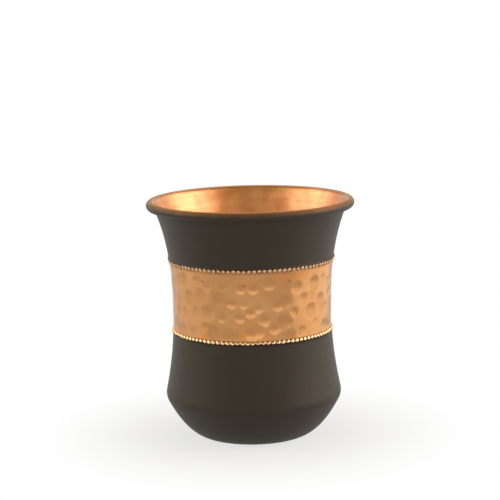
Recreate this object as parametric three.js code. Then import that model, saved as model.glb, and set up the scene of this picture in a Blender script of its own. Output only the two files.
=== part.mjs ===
// A copper tumbler: a spun cup with a flared, wired lip and a narrow waist. A hammered copper
// strip is let into the waist between two beaded wires, and a dark matt coat covers the wall
// above and below it. Millimetres, +Z up, origin in the middle of the foot. The front is -Y.

import * as THREE from "three";

// The spun cup, measured on its bare outside
const HEIGHT = 96.6;
const MOUTH_DIAMETER = 83.5;
const WAIST_DIAMETER = 63.8;
const WAIST_HEIGHT = 47.6;
const BELLY_DIAMETER = 70.7;
const BELLY_HEIGHT = 17.7;
const SHOULDER_RADIUS = 6.0;
const BOWL_ANGLE = THREE.MathUtils.degToRad(28);
const FOOT_DIAMETER = 37.0;
const FOOT_RING_WIDTH = 5.0;
const FOOT_PUSH_UP = 0.8;
const SHEET = 0.9;
// How late the wall turns outwards on its way up from the waist, and on its way down
const FLARE_POWER = 2.87;
const SKIRT_POWER = 1.8;

// The rolled lip and the wire inside it
const RIM_WIRE_DIAMETER = 1.6;
const CURL_GAP = 0.4;

// The hammered strip, let into a channel turned in the waist
const BAND_HEIGHT = 26.5;
const BAND_MIDDLE = 58.1;
const BAND_SHEET = 0.5;
const CHANNEL_DEPTH = 0.3;
const CHANNEL_RUNOUT = 0.15;
const BAND_SEAM = 0.4;
const HAMMER_MARK = 5.8;
const HAMMER_DEPTH = 0.2;
const HAMMER_SCATTER = 1.2;
const HAMMER_MARGIN = 2.4;
const HAMMER_SEED = 7;

// The beaded wires that edge the strip
const BEAD_WIDTH = 2.5;
const BEAD_HEIGHT = 1.0;
const BEAD_PITCH = 2.04;
const BEAD_NECK = 0.5;

// The matt coat
const COAT = 0.2;
const COAT_END_ANGLE = THREE.MathUtils.degToRad(50);
const COAT_FOOT_CLEARANCE = 0.15;

// Film of solder, wax or paint between pieces that lie on each other
const FIT = 0.05;

// Fineness of the surfaces, in steps
const TURN_STEPS = 40;
const BOWL_STEPS = 4;
const SHOULDER_STEPS = 3;
const SKIRT_STEPS = 3;
const BAND_STEPS = 4;
const FLARE_STEPS = 5;
const CURL_STEPS = 8;
const LIP_STEPS = 5;
const BEAD_STEPS = 3;
const JOIN_ROUNDS = 40;

const waistRadius = WAIST_DIAMETER / 2;
const bellyRadius = BELLY_DIAMETER / 2;
const footRadius = FOOT_DIAMETER / 2;
const curlHollow = RIM_WIRE_DIAMETER / 2 + FIT;
const curlRadius = curlHollow + SHEET;
const curlCentre = new THREE.Vector2(MOUTH_DIAMETER / 2 - curlRadius, HEIGHT - curlRadius);
const bandBottom = BAND_MIDDLE - BAND_HEIGHT / 2;
const bandTop = BAND_MIDDLE + BAND_HEIGHT / 2;
const channelBottom = bandBottom - BEAD_WIDTH - 2 * FIT;
const channelTop = bandTop + BEAD_WIDTH + 2 * FIT;

const copper = new THREE.MeshStandardMaterial({ color: 0xc98a58, roughness: 0.32, metalness: 1 });
const wireCopper = new THREE.MeshStandardMaterial({ color: 0xb9794b, roughness: 0.4, metalness: 1 });
const bandCopper = new THREE.MeshStandardMaterial({ color: 0xd2955f, roughness: 0.36, metalness: 1 });
const beadCopper = new THREE.MeshStandardMaterial({ color: 0xe0aa78, roughness: 0.28, metalness: 1 });
const mattCoat = new THREE.MeshStandardMaterial({ color: 0x37302a, roughness: 0.72, metalness: 0 });

// A point at an angle on a circle in the plane of a turned outline.
function onCircle(centre, radius, angle) {
  return new THREE.Vector2(Math.cos(angle), Math.sin(angle)).multiplyScalar(radius).add(centre);
}

// Points along a circle, both ends included.
function arc(centre, radius, from, to, steps) {
  return spread(from, to, steps).map((angle) => onCircle(centre, radius, angle));
}

// Evenly spread values, both ends included.
function spread(from, to, steps) {
  return Array.from({ length: steps + 1 }, (_, i) => from + ((to - from) * i) / steps);
}

// An outline moved sideways, to its right for a positive distance.
function moved(outline, distance) {
  const sides = outline.slice(1).map((point, i) => {
    const along = point.clone().sub(outline[i]).normalize();
    return new THREE.Vector2(along.y, -along.x);
  });
  return outline.map((point, i) => {
    const before = sides[Math.max(i - 1, 0)];
    const after = sides[Math.min(i, sides.length - 1)];
    const mitre = before.clone().add(after).normalize();
    return point.clone().addScaledVector(mitre, distance / mitre.dot(after));
  });
}

// The angle at which a wall that leaves the waist by a power law runs smoothly into a round end.
function joinAngle(pointAt, power) {
  let angle = 0;
  for (let round = 0; round < JOIN_ROUNDS; round += 1) {
    const end = pointAt(angle);
    angle = Math.atan((power * (end.x - waistRadius)) / Math.abs(end.y - WAIST_HEIGHT));
  }
  return angle;
}

// Where the wall meets the hollow of the lip, and where it meets the shoulder of the belly
const neckAt = (angle) => onCircle(curlCentre, curlHollow, Math.PI - angle);
const neckAngle = joinAngle(neckAt, FLARE_POWER);
const neck = neckAt(neckAngle);
const shoulderCentre = new THREE.Vector2(bellyRadius - SHOULDER_RADIUS, BELLY_HEIGHT);
const shoulderAt = (angle) => onCircle(shoulderCentre, SHOULDER_RADIUS, angle);
const shoulderAngle = joinAngle(shoulderAt, SKIRT_POWER);
const shoulderTop = shoulderAt(shoulderAngle);

// The bare outside of the cup's wall at a height.
function wall(height) {
  const end = height > WAIST_HEIGHT ? neck : shoulderTop;
  const power = height > WAIST_HEIGHT ? FLARE_POWER : SKIRT_POWER;
  const way = Math.abs((height - WAIST_HEIGHT) / (end.y - WAIST_HEIGHT));
  return new THREE.Vector2(waistRadius + (end.x - waistRadius) * way ** power, height);
}

// The floor of the channel at a height.
function channelFloor(height) {
  return wall(height).sub(new THREE.Vector2(CHANNEL_DEPTH, 0));
}

// The coated part of the bowl, from just above the foot to the top of the shoulder.
function bowl() {
  const top = shoulderAt(-BOWL_ANGLE);
  const corner = new THREE.Vector2(top.x - top.y * Math.tan(BOWL_ANGLE), 0);
  const curve = new THREE.QuadraticBezierCurve(new THREE.Vector2(footRadius, 0), corner, top);
  const coatStart = Math.sqrt((FIT + COAT + COAT_FOOT_CLEARANCE) / top.y);
  const round = spread(coatStart, 1, BOWL_STEPS).map((t) => curve.getPoint(t));
  const shoulder = arc(shoulderCentre, SHOULDER_RADIUS, -BOWL_ANGLE, shoulderAngle, SHOULDER_STEPS);
  return [...round, ...shoulder.slice(1)];
}

// Stretches of the cup's bare outside that other pieces lie on
const skirt = spread(shoulderTop.y, channelBottom - CHANNEL_RUNOUT, SKIRT_STEPS).map(wall);
const bandSeat = spread(bandBottom, bandTop, BAND_STEPS).map(channelFloor);
const flare = spread(channelTop + CHANNEL_RUNOUT, neck.y, FLARE_STEPS).map(wall);
const curlStart = Math.PI - neckAngle;
const curlEnd = Math.acos((curlHollow - CURL_GAP) / curlRadius) - Math.PI - neckAngle;
const coatedLip = arc(curlCentre, curlRadius, curlEnd, COAT_END_ANGLE, LIP_STEPS);

// A closed body turned from an outline around the Z axis.
function turned(name, outline, material) {
  const geometry = new THREE.LatheGeometry(outline, TURN_STEPS).rotateX(Math.PI / 2);
  return named(name, geometry, material);
}

// A mesh that carries its node's name.
function named(name, geometry, material) {
  const mesh = new THREE.Mesh(geometry, material);
  mesh.name = name;
  return mesh;
}

// The cup: foot, bowl, wall with its channel, lip rolled outwards, and the smooth inside.
function cupShell() {
  const ring = footRadius - FOOT_RING_WIDTH;
  const underside = [
    new THREE.Vector2(0, FOOT_PUSH_UP),
    new THREE.Vector2(ring - FOOT_PUSH_UP, FOOT_PUSH_UP),
    new THREE.Vector2(ring, 0),
    new THREE.Vector2(footRadius, 0),
  ];
  const smooth = spread(shoulderTop.y, neck.y, SKIRT_STEPS + FLARE_STEPS).slice(1).map(wall);
  const inside = moved([...underside, ...bowl(), ...smooth], -SHEET).reverse();
  const channel = [channelFloor(channelBottom), ...bandSeat, channelFloor(channelTop)];
  const outside = [...underside, ...bowl(), ...skirt.slice(1), ...channel, ...flare];
  const hollow = arc(curlCentre, curlHollow, curlStart, curlEnd, CURL_STEPS).slice(1);
  const bareLip = arc(curlCentre, curlRadius, COAT_END_ANGLE, curlStart, CURL_STEPS - LIP_STEPS);
  const outline = [...outside, ...hollow, ...coatedLip, ...bareLip.slice(1), ...inside.slice(1)];
  return turned("cup_shell", outline, copper);
}

// The round wire that stiffens the rolled lip.
function rimWire() {
  const radius = RIM_WIRE_DIAMETER / 2;
  const rolled = arc(curlCentre, radius, curlEnd, curlStart, CURL_STEPS);
  const open = arc(curlCentre, radius, curlStart, curlEnd + 2 * Math.PI, 2);
  return turned("rim_wire", [...rolled, ...open.slice(1)], wireCopper);
}

// A skin of paint over an outline of the cup.
function coat(name, outline) {
  const inner = moved(outline, FIT);
  const outer = moved(outline, FIT + COAT);
  return turned(name, [...inner.toReversed(), ...outer, inner.at(-1)], mattCoat);
}

// The coat from the upper beads to the outside of the lip, bridging the gap of the rolled edge.
function upperCoat() {
  const clear = curlRadius + FIT + COAT;
  const below = flare.filter((point) => point.distanceTo(curlCentre) > clear);
  return coat("upper_coat", [...below, ...coatedLip]);
}

// The coat from the lower beads over the belly to just above the foot.
function lowerCoat() {
  return coat("lower_coat", [...bowl(), ...skirt.slice(1)]);
}

// A body swept through closed sections, either round on itself or with its two ends capped.
// Each four-sided patch is split along its shorter diagonal.
function swept(sections, closed) {
  const size = sections[0].length;
  const points = sections.flat();
  const index = [];
  const spans = closed ? sections.length : sections.length - 1;
  for (let i = 0; i < spans; i += 1) {
    const here = i * size;
    const next = ((i + 1) % sections.length) * size;
    for (let k = 0; k < size; k += 1) {
      const up = (k + 1) % size;
      const [a, b, c, d] = [here + k, next + k, next + up, here + up];
      const rising = points[a].distanceTo(points[c]) < points[b].distanceTo(points[d]);
      index.push(...(rising ? [a, b, c, a, c, d] : [a, b, d, b, c, d]));
    }
  }
  if (!closed) {
    const last = (sections.length - 1) * size;
    const face = sections[0].map((point) => new THREE.Vector2(Math.hypot(point.x, point.y), point.z));
    for (const [a, b, c] of THREE.ShapeUtils.triangulateShape(face, [])) {
      index.push(a, b, c, last + a, last + c, last + b);
    }
  }
  const geometry = new THREE.BufferGeometry().setFromPoints(points).setIndex(index);
  geometry.computeVertexNormals();
  return geometry;
}

// A point of a turned outline carried round the axis, counted from the back.
function around(point, turn) {
  return new THREE.Vector3(-point.x * Math.sin(turn), point.x * Math.cos(turn), point.y);
}

// A repeatable random amount, up to half the range either way.
function scatter(range) {
  return range * (THREE.MathUtils.seededRandom() - 0.5);
}

// The hammered strip. Its points are a triangular lattice in which every third one is the
// bottom of a hammer mark, knocked a little off its place, and the rest stand on the ridges.
function hammeredBand() {
  const girth = 2 * Math.PI * waistRadius;
  const columns = 3 * Math.round(girth / (HAMMER_MARK * Math.sqrt(3)));
  const rows = Math.round((BAND_HEIGHT - 2 * HAMMER_MARGIN) / (HAMMER_MARK / 2));
  const levels = spread(bandBottom + HAMMER_MARGIN, bandTop - HAMMER_MARGIN, rows);
  const seam = BAND_SEAM / waistRadius;
  const step = (2 * Math.PI - seam) / columns;
  THREE.MathUtils.seededRandom(HAMMER_SEED);
  const sections = spread(0, columns, columns).map((column) => {
    const turn = seam / 2 + column * step;
    const inEnd = column === 0 || column === columns;
    const onStrip = (level, out, slip = 0) => {
      const place = channelFloor(level).add(new THREE.Vector2(FIT + out, 0));
      return around(place, turn + slip);
    };
    const hammered = levels.map((level, row) => {
      if (inEnd) {
        return onStrip(level, BAND_SHEET);
      }
      const stagger = row % 2 ? step / 4 : -step / 4;
      if ((column - row - Math.floor(row / 2)) % 3 !== 0) {
        return onStrip(level, BAND_SHEET, stagger);
      }
      const depth = HAMMER_DEPTH + scatter(HAMMER_DEPTH);
      const slip = stagger + scatter(HAMMER_SCATTER) / waistRadius;
      return onStrip(level + scatter(HAMMER_SCATTER), BAND_SHEET - depth, slip);
    });
    const front = [onStrip(bandBottom, BAND_SHEET), ...hammered, onStrip(bandTop, BAND_SHEET)];
    const back = bandSeat.map((seat) => onStrip(seat.y, 0)).reverse();
    return [...front, ...back];
  });
  return named("hammered_band", swept(sections, false), bandCopper);
}

// A half round wire pressed into a row of beads, lying in the channel at a height.
function beadWire(name, height) {
  const seat = channelFloor(height);
  const slope = channelFloor(height + FIT).sub(seat).normalize();
  const out = new THREE.Vector2(slope.y, -slope.x);
  const beads = Math.round((2 * Math.PI * (seat.x + BEAD_HEIGHT)) / BEAD_PITCH);
  const swell = [BEAD_NECK, 1];
  const sections = spread(0, beads * swell.length, beads * swell.length).slice(0, -1).map((i) => {
    const size = swell[i % swell.length];
    const turn = (2 * Math.PI * i) / (beads * swell.length);
    return spread(-Math.PI / 2, Math.PI / 2, BEAD_STEPS).map((angle) => {
      const place = seat.clone().addScaledVector(out, FIT + BEAD_HEIGHT * size * Math.cos(angle));
      return around(place.addScaledVector(slope, (BEAD_WIDTH / 2) * size * Math.sin(angle)), turn);
    });
  });
  return named(name, swept(sections, true), beadCopper);
}

const tumbler = new THREE.Group();
tumbler.name = "copper_tumbler";
tumbler.add(cupShell());
tumbler.add(rimWire());
tumbler.add(upperCoat());
tumbler.add(lowerCoat());
tumbler.add(hammeredBand());
tumbler.add(beadWire("upper_bead_wire", channelTop - FIT - BEAD_WIDTH / 2));
tumbler.add(beadWire("lower_bead_wire", channelBottom + FIT + BEAD_WIDTH / 2));

export default tumbler;
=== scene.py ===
"""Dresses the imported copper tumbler: fine turned, hammered and beaded meshes over its solids, their
finishes, and the plain studio that it is seen in. Metres, +Z up, with the front towards -Y."""

import logging
import math
from abc import ABC, abstractmethod
from dataclasses import dataclass, field
from enum import Enum
from typing import Any

import bmesh
import bpy
import numpy as np
from mathutils import Matrix, Vector


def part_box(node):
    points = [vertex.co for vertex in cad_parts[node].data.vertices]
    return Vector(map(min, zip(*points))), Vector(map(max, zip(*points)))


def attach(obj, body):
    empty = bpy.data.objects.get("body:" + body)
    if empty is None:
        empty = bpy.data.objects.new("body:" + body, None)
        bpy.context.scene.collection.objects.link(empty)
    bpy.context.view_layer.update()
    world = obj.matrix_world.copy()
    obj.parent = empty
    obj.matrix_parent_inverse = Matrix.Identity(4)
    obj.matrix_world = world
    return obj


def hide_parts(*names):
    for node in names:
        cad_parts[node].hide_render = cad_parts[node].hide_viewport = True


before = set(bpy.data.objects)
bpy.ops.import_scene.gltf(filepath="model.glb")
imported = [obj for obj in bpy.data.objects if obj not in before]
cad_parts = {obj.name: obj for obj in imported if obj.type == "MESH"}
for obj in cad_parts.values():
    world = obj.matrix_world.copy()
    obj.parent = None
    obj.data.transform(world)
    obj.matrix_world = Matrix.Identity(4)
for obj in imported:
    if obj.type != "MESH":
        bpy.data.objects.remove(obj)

log = logging.getLogger("tumbler")

MM = 0.001
BODY = "root"
MERGE_DISTANCE = 1e-8
SHARP_ANGLE = math.radians(50)
FULL_TURN = 2.0 * math.pi

Colour = tuple[float, float, float, float]
Socket = bpy.types.NodeSocket

WHITE: Colour = (1.0, 1.0, 1.0, 1.0)


class Slot(Enum):
    """The record's material slots for the pieces that are made here."""

    CUP = "cup_copper"
    COAT = "matt_coat"
    BAND = "band_copper"
    BEAD = "bead_copper"


class Trait(Enum):
    """Values that a mesh carries from point to point for its finish."""

    RUN = "run"
    COVER = "cover"
    CREST = "crest"
    EDGE = "edge"
    BELOW = "below"
    STAIN = "stain"
    SPECK = "speck"
    HOLLOW = "hollow"


class Way(Enum):
    """Which way something lies from something else, up or down the cup."""

    UP = 1.0
    DOWN = -1.0


def smooth_step(low: float, high: float, value: np.ndarray) -> np.ndarray:
    """Ease from 0 to 1 between two values.

    Args:
        low: The value up to which the result is 0.
        high: The value from which the result is 1.
        value: The values to ease.

    Returns:
        The eased values.
    """
    way = np.clip((value - low) / (high - low), 0.0, 1.0)
    return way * way * (3.0 - 2.0 * way)


def arc(centre: np.ndarray, radius: float | np.ndarray, start: float, end: float, steps: int) -> np.ndarray:
    """Points along a circle in the plane of a turned outline, both ends included.

    Args:
        centre: The circle's centre as radius and height.
        radius: The circle's radius, or one for each point as a column.
        start: The angle of the first point.
        end: The angle of the last point.
        steps: How many steps lie between them.

    Returns:
        The points, one row each.
    """
    angles = np.linspace(start, end, steps + 1)
    return centre + radius * np.stack([np.cos(angles), np.sin(angles)], axis=1)


def moved(outline: np.ndarray, distance: float | np.ndarray) -> np.ndarray:
    """Move a smooth outline sideways, to its right for a positive distance.

    Args:
        outline: The points to move, one row each.
        distance: How far, for all points or for each.

    Returns:
        The moved points.
    """
    along = np.gradient(outline, axis=0)
    along /= np.linalg.norm(along, axis=1, keepdims=True)
    right = np.stack([along[:, 1], -along[:, 0]], axis=1)
    return outline + right * np.broadcast_to(distance, len(outline))[:, None]


def run_along(outline: np.ndarray) -> np.ndarray:
    """The length walked along an outline, at each of its points."""
    steps = np.linalg.norm(np.diff(outline, axis=0), axis=1)
    return np.concatenate([[0.0], np.cumsum(steps)])


def eased(outline: np.ndarray, reach: float) -> np.ndarray:
    """Spread an outline's points evenly and ease its corners.

    Args:
        outline: The points, one row each.
        reach: How far along the outline a corner is eased.

    Returns:
        The new points, with both ends in place.
    """
    run = run_along(outline)
    count = int(run[-1] / (reach / 3)) + 1
    even = np.linspace(0.0, run[-1], count)
    points = np.stack([np.interp(even, run, outline[:, i]) for i in (0, 1)], axis=1)
    kernel = np.exp(-0.5 * np.linspace(-2.0, 2.0, 13) ** 2)
    kernel /= kernel.sum()
    half = len(kernel) // 2
    before = 2 * points[0] - points[half:0:-1]
    after = 2 * points[-1] - points[-2 : -half - 2 : -1]
    padded = np.concatenate([before, points, after])
    return np.stack([np.convolve(padded[:, i], kernel, mode="valid") for i in (0, 1)], axis=1)


def around(outline: np.ndarray, turns: np.ndarray) -> np.ndarray:
    """Carry the points of an outline round the axis.

    Args:
        outline: Radius and height of each point.
        turns: The angles to carry them to, counted from the back.

    Returns:
        A grid of points, one row for each point of the outline.
    """
    radius = outline[:, :1]
    height = np.broadcast_to(outline[:, 1:], (len(outline), len(turns)))
    return np.stack([-radius * np.sin(turns), radius * np.cos(turns), height], axis=2)


@dataclass
class GridMesh:
    """A closed mesh made from a grid of points whose rows close on themselves.

    Attributes:
        name: The object's name.
        grid: The points, by row and column.
        ring: Whether the last column joins the first.
        traits: Values carried by the points, by row and column.
    """

    name: str
    grid: np.ndarray
    ring: bool = True
    traits: dict[Trait, np.ndarray] = field(default_factory=dict)

    def faces(self) -> np.ndarray:
        """The four-sided faces between the grid's points.

        Returns:
            The numbers of each face's points, one row each.
        """
        rows, columns = self.grid.shape[:2]
        here = np.arange(rows * columns).reshape(rows, columns)
        if self.ring:
            here = np.concatenate([here, here[:, :1]], axis=1)
        up = np.roll(here, -1, axis=0)
        corners = [here[:, :-1], here[:, 1:], up[:, 1:], up[:, :-1]]
        return np.stack(corners, axis=2).reshape(-1, 4)

    def build(self) -> bpy.types.Object:
        """Make the object, with its points merged on the axis and its open ends capped.

        Returns:
            The new object, in the scene.
        """
        mesh = bpy.data.meshes.new(self.name)
        mesh.from_pydata(self.grid.reshape(-1, 3).tolist(), [], self.faces().tolist())
        for trait, values in self.traits.items():
            layer = mesh.attributes.new(trait.value, "FLOAT", "POINT")
            layer.data.foreach_set("value", values.astype(np.float32).ravel())
        shape = bmesh.new()
        shape.from_mesh(mesh)
        bmesh.ops.remove_doubles(shape, verts=shape.verts, dist=MERGE_DISTANCE)
        bmesh.ops.holes_fill(shape, edges=[e for e in shape.edges if e.is_boundary], sides=0)
        bmesh.ops.recalc_face_normals(shape, faces=shape.faces)
        shape.to_mesh(mesh)
        shape.free()
        mesh.shade_smooth()
        mesh.set_sharp_from_angle(angle=SHARP_ANGLE)
        piece = bpy.data.objects.new(self.name, mesh)
        bpy.context.scene.collection.objects.link(piece)
        return piece


class NodeSheet:
    """A node tree, with short calls for the nodes that the finishes and the studio share."""

    def __init__(self, tree: bpy.types.NodeTree) -> None:
        """Start with an empty tree.

        Args:
            tree: The tree to fill.
        """
        self.tree = tree
        self.tree.nodes.clear()

    def fill(self, node: bpy.types.Node, inputs: dict[Any, Any]) -> None:
        """Set or link a node's inputs.

        Args:
            node: The node.
            inputs: A value or another node's socket for each input, by its name or number.
        """
        for key, value in inputs.items():
            if isinstance(value, Socket):
                self.tree.links.new(value, node.inputs[key])
            else:
                node.inputs[key].default_value = value

    def add(self, kind: str, inputs: dict[Any, Any] | None = None, **settings: Any) -> bpy.types.Node:
        """Add a node.

        Args:
            kind: The node's type.
            inputs: A value or another node's socket for each input that is set.
            settings: The node's own settings.

        Returns:
            The new node.
        """
        node = self.tree.nodes.new(kind)
        for name, value in settings.items():
            setattr(node, name, value)
        self.fill(node, inputs or {})
        return node

    def ranged(self, value: Socket, low: float, high: float, to_low: float, to_high: float) -> Socket:
        """Map a value from one range to another, eased and held at both ends.

        Args:
            value: The value to map.
            low: The range's start.
            high: The range's end.
            to_low: What the start becomes.
            to_high: What the end becomes.

        Returns:
            The mapped value.
        """
        inputs = {"Value": value, "From Min": low, "From Max": high, "To Min": to_low, "To Max": to_high}
        node = self.add("ShaderNodeMapRange", inputs, interpolation_type="SMOOTHSTEP")
        return node.outputs["Result"]

    def joined(self, operation: str, first: Socket | float, second: Socket | float) -> Socket:
        """One arithmetic step between two values."""
        return self.add("ShaderNodeMath", {0: first, 1: second}, operation=operation).outputs[0]

    def mixed(self, factor: Socket | float, first: Socket | Colour, second: Socket | Colour) -> Socket:
        """A colour between two others.

        Args:
            factor: How far from the first to the second.
            first: The colour at 0.
            second: The colour at 1.

        Returns:
            The mixed colour.
        """
        node = self.add("ShaderNodeMix", {0: factor, 6: first, 7: second}, data_type="RGBA")
        return node.outputs[2]

    def seen(self) -> Socket:
        """Whether a ray shows a thing to the camera, directly, mirrored or through glass.

        Returns:
            1 for such rays and 0 for those of soft light.
        """
        path = self.add("ShaderNodeLightPath").outputs
        bent = self.joined("MAXIMUM", path["Is Glossy Ray"], path["Is Transmission Ray"])
        return self.joined("MAXIMUM", bent, path["Is Camera Ray"])


class ShaderSheet(NodeSheet):
    """A material's node tree, built round one principled shader."""

    def __init__(self, name: str) -> None:
        """Start a material whose tree holds the shader.

        Args:
            name: The material's name.
        """
        self.material = bpy.data.materials.new(name)
        self.material.use_nodes = True
        super().__init__(self.material.node_tree)
        self.shader = self.add("ShaderNodeBsdfPrincipled")
        self.output = self.add("ShaderNodeOutputMaterial", {"Surface": self.shader.outputs["BSDF"]})
        self.place = self.add("ShaderNodeTexCoord").outputs["Object"]

    def surface(self, inputs: dict[str, Any]) -> None:
        """Set or link the principled shader's sockets."""
        self.fill(self.shader, inputs)

    def trait(self, trait: Trait) -> Socket:
        """A value that the mesh carries."""
        return self.add("ShaderNodeAttribute", attribute_name=trait.value).outputs["Fac"]

    def noise(self, scale: float, detail: float = 3.0, place: Socket | None = None) -> Socket:
        """A soft random pattern.

        Args:
            scale: Its fineness, per metre.
            detail: How many finer layers it has.
            place: Where it is read, or None for the place on the object.

        Returns:
            The pattern's value, around 0.5.
        """
        inputs = {"Vector": place or self.place, "Scale": scale, "Detail": detail}
        return self.add("ShaderNodeTexNoise", inputs).outputs["Fac"]

    def stretched(self, across: float, along: Socket, fineness: float) -> Socket:
        """A place to read lines that run round the axis.

        Args:
            across: How fast the lines change on their way round, per metre.
            along: The length walked along the outline.
            fineness: How many lines there are, per metre of outline.

        Returns:
            The place.
        """
        split = self.add("ShaderNodeSeparateXYZ", {0: self.place})
        parts = {
            "X": self.joined("MULTIPLY", split.outputs["X"], across),
            "Y": self.joined("MULTIPLY", split.outputs["Y"], across),
            "Z": self.joined("MULTIPLY", along, fineness),
        }
        return self.add("ShaderNodeCombineXYZ", parts).outputs["Vector"]

    def bump(self, height: Socket, strength: float, depth: float, under: Socket | None = None) -> Socket:
        """A bumped normal.

        Args:
            height: The relief.
            strength: How much of it shows.
            depth: Its height in metres.
            under: A normal that it adds to.

        Returns:
            The normal.
        """
        inputs: dict[str, Any] = {"Height": height, "Strength": strength, "Distance": depth}
        if under is not None:
            inputs["Normal"] = under
        return self.add("ShaderNodeBump", inputs).outputs["Normal"]


@dataclass(frozen=True)
class SpunCopper:
    """Satin copper with fine turning lines, as inside the cup.

    Attributes:
        name: The material's name.
        bright: The colour where the metal is clean.
        warm: The colour where it has reddened.
        dull: The colour of its small dark flecks.
        rim: The tint of the metal seen edge on.
        roughness: How satin it is.
        fleck_matt: How much more matt the flecks are.
        lacquer: How fully a clear lacquer covers it.
        lacquer_roughness: How satin the lacquer is.
        lacquer_index: The lacquer's refractive index.
    """

    name: str = "spun_copper"
    bright: Colour = (0.755, 0.340, 0.104, 1.0)
    warm: Colour = (0.600, 0.206, 0.040, 1.0)
    dull: Colour = (0.30, 0.105, 0.035, 1.0)
    rim: Colour = (0.74, 0.67, 0.60, 1.0)
    roughness: float = 0.46
    fleck_matt: float = 0.2
    lacquer: float = 1.0
    lacquer_roughness: float = 0.30
    lacquer_index: float = 1.62

    def material(self) -> bpy.types.Material:
        """Make the finish.

        Returns:
            The new material.
        """
        sheet = ShaderSheet(self.name)
        run = sheet.trait(Trait.RUN)
        lines = sheet.noise(1.0, 2.0, sheet.stretched(14.0, run, 2400.0))
        streaks = sheet.noise(1.0, 3.0, sheet.stretched(40.0, run, 420.0))
        brushed = sheet.ranged(streaks, 0.36, 0.64, 0.0, 0.35)
        patches = sheet.ranged(sheet.noise(190.0, 5.0), 0.42, 0.62, 0.0, 0.5)
        clouds = sheet.ranged(sheet.noise(55.0, 4.0), 0.38, 0.66, 0.0, 0.5)
        aged = sheet.joined("ADD", clouds, sheet.joined("ADD", patches, brushed))
        flecks = sheet.ranged(sheet.noise(620.0, 5.0), 0.64, 0.80, 0.0, 0.22)
        tone = sheet.mixed(aged, self.bright, self.warm)
        uneven = sheet.noise(130.0, 4.0)
        satin = sheet.ranged(uneven, 0.35, 0.65, self.roughness - 0.03, self.roughness + 0.03)
        shine = sheet.joined("ADD", sheet.ranged(lines, 0.3, 0.7, -0.03, 0.03), satin)
        dents = sheet.bump(sheet.noise(85.0, 2.0), 0.05, 0.25 * MM)
        relief = sheet.bump(lines, 0.06, 0.02 * MM, dents)
        sheet.surface({
            "Base Color": sheet.mixed(flecks, tone, self.dull),
            "Roughness": sheet.joined("ADD", shine, sheet.joined("MULTIPLY", flecks, self.fleck_matt)),
            "Metallic": 1.0,
            "Specular Tint": self.rim,
            "Coat Weight": self.lacquer,
            "Coat Roughness": self.lacquer_roughness,
            "Coat IOR": self.lacquer_index,
            "Normal": relief,
        })
        return sheet.material


@dataclass(frozen=True)
class HammeredCopper:
    """Planished copper, tarnished along the strip's edges, with painted shade in the hammer marks and along
    the upper edge under the beads.

    Attributes:
        name: The material's name.
        bright: The colour of the clean metal.
        warm: The colour where it has reddened.
        hollow: Painted shade, a darker copper down in the hammer marks.
        stain: The colour of the stains along the edges.
        spot: The colour of the dark spots.
        seam: Painted shade, a dark line along the upper edge where it lies under the upper beads.
        rim: The tint of the metal seen edge on.
        roughness: How satin it is.
        spot_matt: How much more matt the spots are.
        lacquer: How fully a clear lacquer covers it.
        lacquer_roughness: How satin the lacquer is.
    """

    name: str = "hammered_copper"
    bright: Colour = (0.470, 0.225, 0.077, 1.0)
    warm: Colour = (0.440, 0.197, 0.061, 1.0)
    hollow: Colour = (0.415, 0.184, 0.056, 1.0)
    stain: Colour = (0.54, 0.185, 0.035, 1.0)
    spot: Colour = (0.16, 0.060, 0.025, 1.0)
    seam: Colour = (0.34, 0.145, 0.050, 1.0)
    rim: Colour = (0.77, 0.68, 0.57, 1.0)
    roughness: float = 0.2
    spot_matt: float = 0.25
    lacquer: float = 0.45
    lacquer_roughness: float = 0.22

    def material(self) -> bpy.types.Material:
        """Make the finish.

        Returns:
            The new material.
        """
        sheet = ShaderSheet(self.name)
        edge = sheet.trait(Trait.EDGE)
        cloud = sheet.ranged(sheet.noise(90.0, 4.0), 0.38, 0.64, 0.0, 1.0)
        near_edge = sheet.ranged(edge, 0.6 * MM, 5.5 * MM, 1.0, 0.0)
        blotch = sheet.ranged(sheet.noise(70.0, 5.0), 0.50, 0.66, 0.0, 1.0)
        patchy = sheet.ranged(sheet.noise(420.0, 4.0), 0.30, 0.62, 0.35, 1.0)
        smudged = sheet.joined("MULTIPLY", sheet.trait(Trait.STAIN), patchy)
        stained = sheet.joined("MAXIMUM", smudged, sheet.joined("MULTIPLY", near_edge, blotch))
        specks = sheet.ranged(sheet.noise(240.0, 4.0), 0.68, 0.76, 0.0, 1.0)
        scattered = sheet.joined("MULTIPLY", specks, sheet.ranged(edge, 1.0 * MM, 6.0 * MM, 0.9, 0.12))
        speckled = sheet.joined("MULTIPLY", sheet.trait(Trait.SPECK), patchy)
        spotted = sheet.joined("MAXIMUM", scattered, speckled)
        # Painted shade: a dark line just below the top edge, where the strip lies under the upper beads.
        shade_under_beads = sheet.ranged(sheet.trait(Trait.BELOW), -0.1 * MM, 0.7 * MM, 0.9, 0.0)
        # Painted shade: the copper darkens with the depth of each hammer mark.
        hollow = sheet.ranged(sheet.trait(Trait.HOLLOW), 0.02 * MM, 0.20 * MM, 0.0, 1.0)
        tone = sheet.mixed(hollow, sheet.mixed(cloud, self.bright, self.warm), self.hollow)
        toned = sheet.mixed(stained, tone, self.stain)
        grain = sheet.noise(2600.0, 3.0)
        shine = sheet.ranged(grain, 0.3, 0.7, self.roughness - 0.04, self.roughness + 0.05)
        sheet.surface({
            "Base Color": sheet.mixed(shade_under_beads, sheet.mixed(spotted, toned, self.spot), self.seam),
            "Roughness": sheet.joined("ADD", shine, sheet.joined("MULTIPLY", spotted, self.spot_matt)),
            "Metallic": 1.0,
            "Specular Tint": self.rim,
            "Coat Weight": self.lacquer,
            "Coat Roughness": self.lacquer_roughness,
            "Normal": sheet.bump(grain, 0.06, 0.02 * MM),
        })
        return sheet.material


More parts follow.
